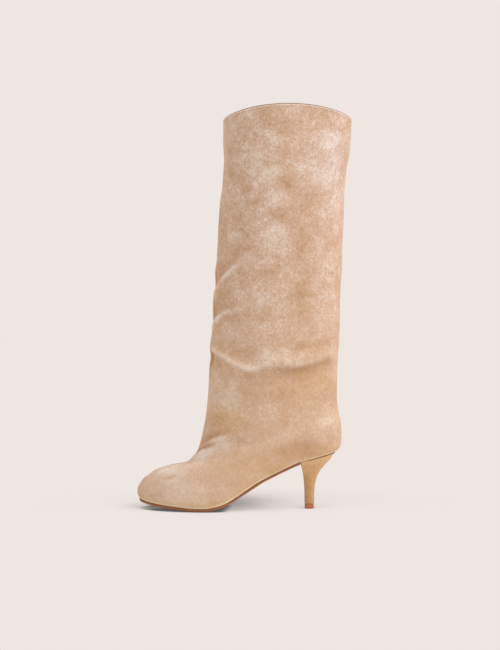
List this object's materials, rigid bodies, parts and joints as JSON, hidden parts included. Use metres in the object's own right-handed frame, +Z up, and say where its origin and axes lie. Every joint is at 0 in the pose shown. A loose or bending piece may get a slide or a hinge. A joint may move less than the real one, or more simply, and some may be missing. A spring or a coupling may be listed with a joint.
{
  "type": "slouch boot",
  "caption": "Knee-high slouch boot in soft suede: wide pull-on shaft with soft folds, rounded toe, thin sole and a slim covered heel. Left foot.",
  "frame": {"origin": "on the floor, at the middle of the flat underside of the heel's tip", "axes": "+Z up; the toe points along -X and the back of the heel along +X; the outer side of the left foot faces -Y and the inner side +Y"},
  "size_m": [0.2464, 0.106, 0.4587],
  "materials": {
    "upper_suede": "matt brushed suede with a cloudy nap",
    "sole_leather": "smooth satin leather, dark upper edge",
    "lining_leather": "smooth matt lining leather",
    "heel_suede": "matt brushed suede, stretched over the heel",
    "tip_rubber": "smooth satin"
  },
  "bodies": {
    "root": {"upper": "upper_suede", "outsole": "sole_leather", "insole": "lining_leather", "heel": "heel_suede", "top_piece": "tip_rubber"}
  },
  "joints": []
}
